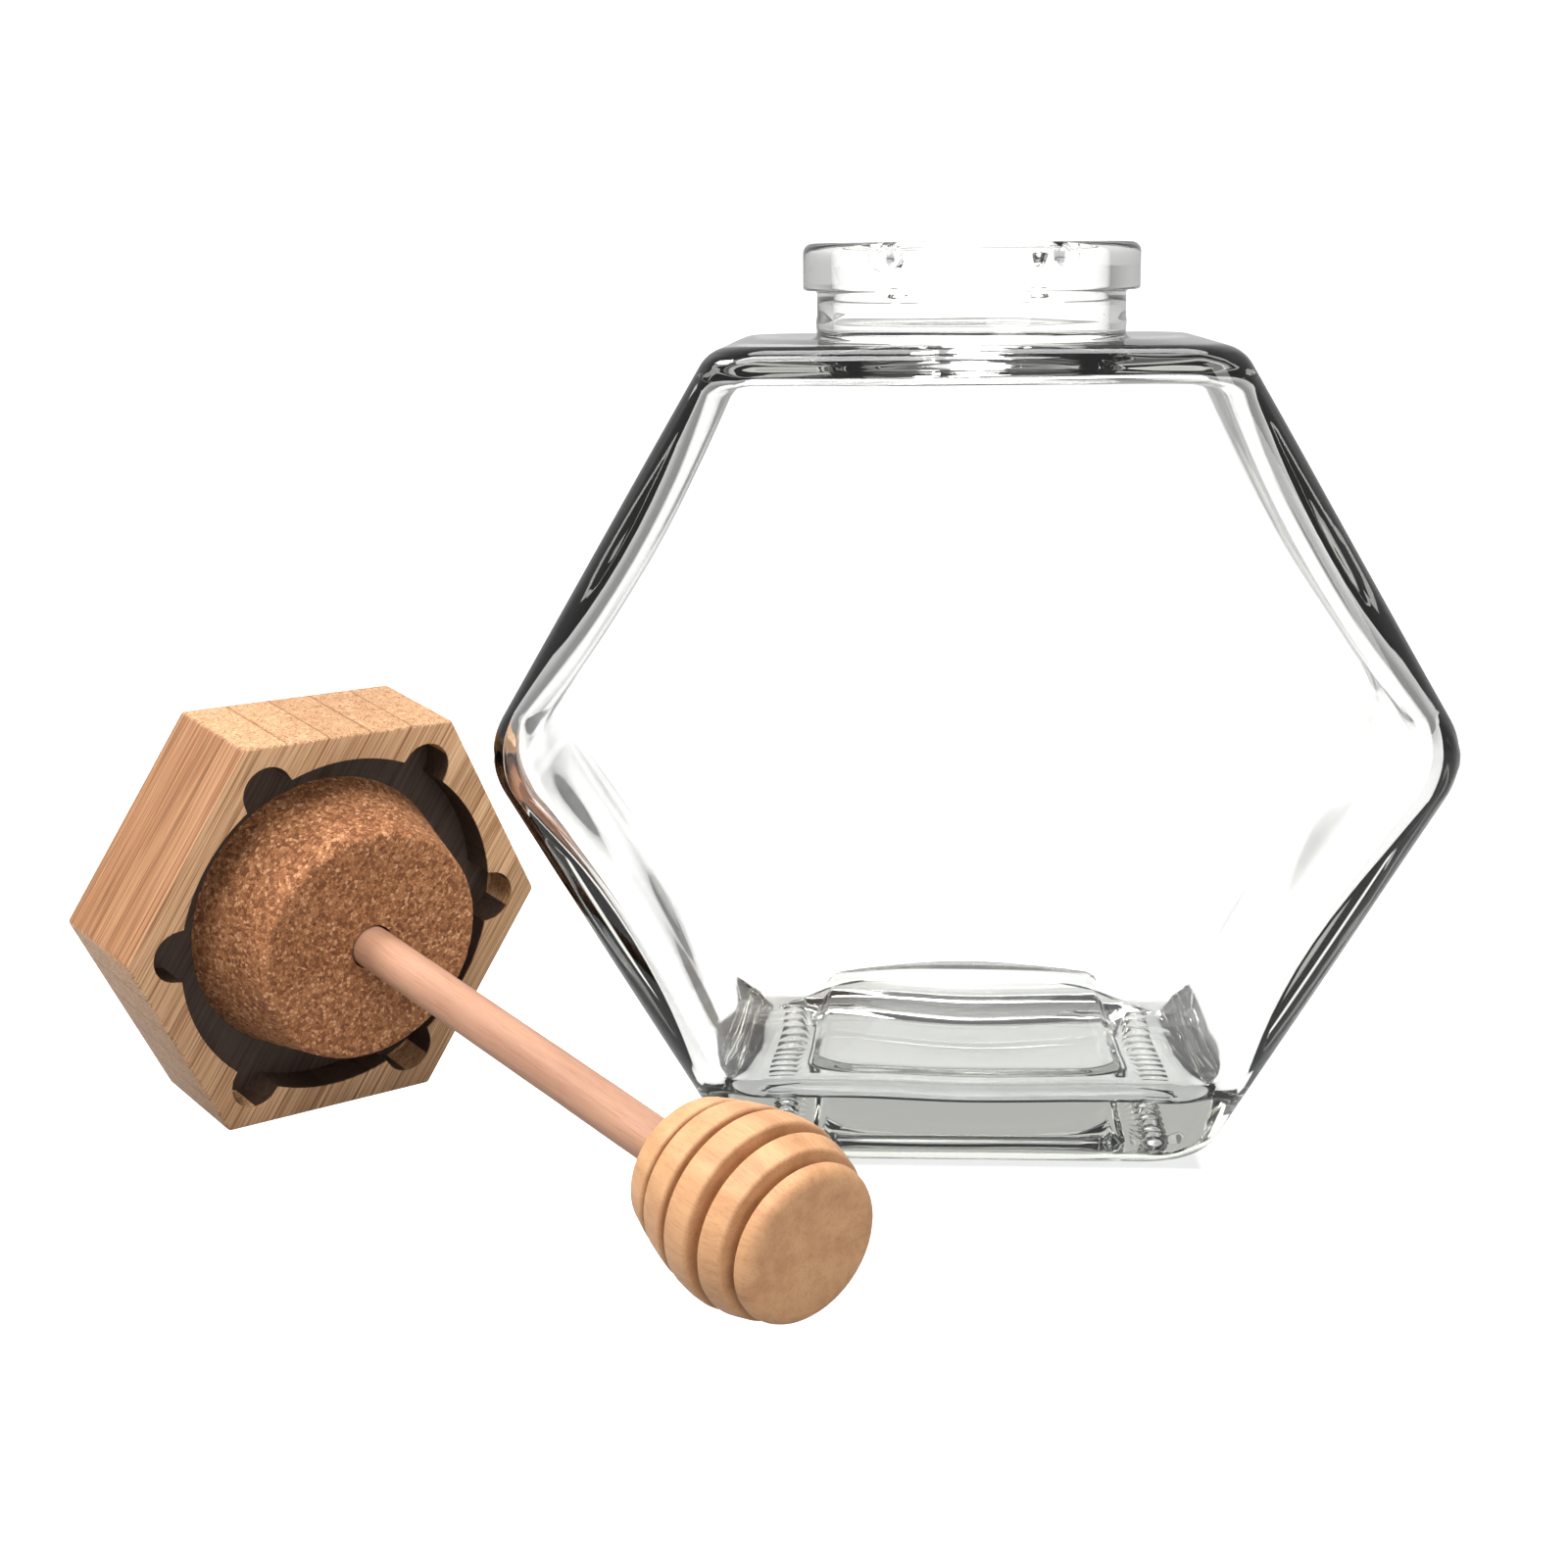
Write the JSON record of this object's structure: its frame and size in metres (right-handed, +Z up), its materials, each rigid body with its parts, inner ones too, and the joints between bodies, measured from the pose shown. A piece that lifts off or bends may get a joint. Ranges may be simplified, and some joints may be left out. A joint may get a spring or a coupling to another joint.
{
  "type": "honey jar with dipper lid",
  "caption": "Open hexagonal glass honey jar standing on a flat side, with its bamboo lid, tapered cork and turned wooden honey dipper lying in front of it.",
  "frame": {"origin": "under the middle of the whole, on the surface that it stands on", "axes": "+X to the right of the jar's hexagonal front, +Y from its front to its back, +Z up"},
  "size_m": [0.1678, 0.112, 0.1089],
  "materials": {
    "clear_glass": "clear soda-lime glass, thick at the base, gently wavy inside",
    "bamboo": "laminated bamboo block, fine straight grain, bare and smoothly sanded",
    "cork": "agglomerated cork, matt, dark and light granules",
    "rod_wood": "bare pinkish hardwood dowel, fine grain along its length",
    "head_wood": "bare turned hardwood, warmer than the rod, fine tool lines"
  },
  "bodies": {
    "root": {"glass_jar": "clear_glass", "bamboo_lid": "bamboo", "cork_stopper": "cork", "dipper_rod": "rod_wood", "dipper_head": "head_wood"}
  },
  "joints": []
}
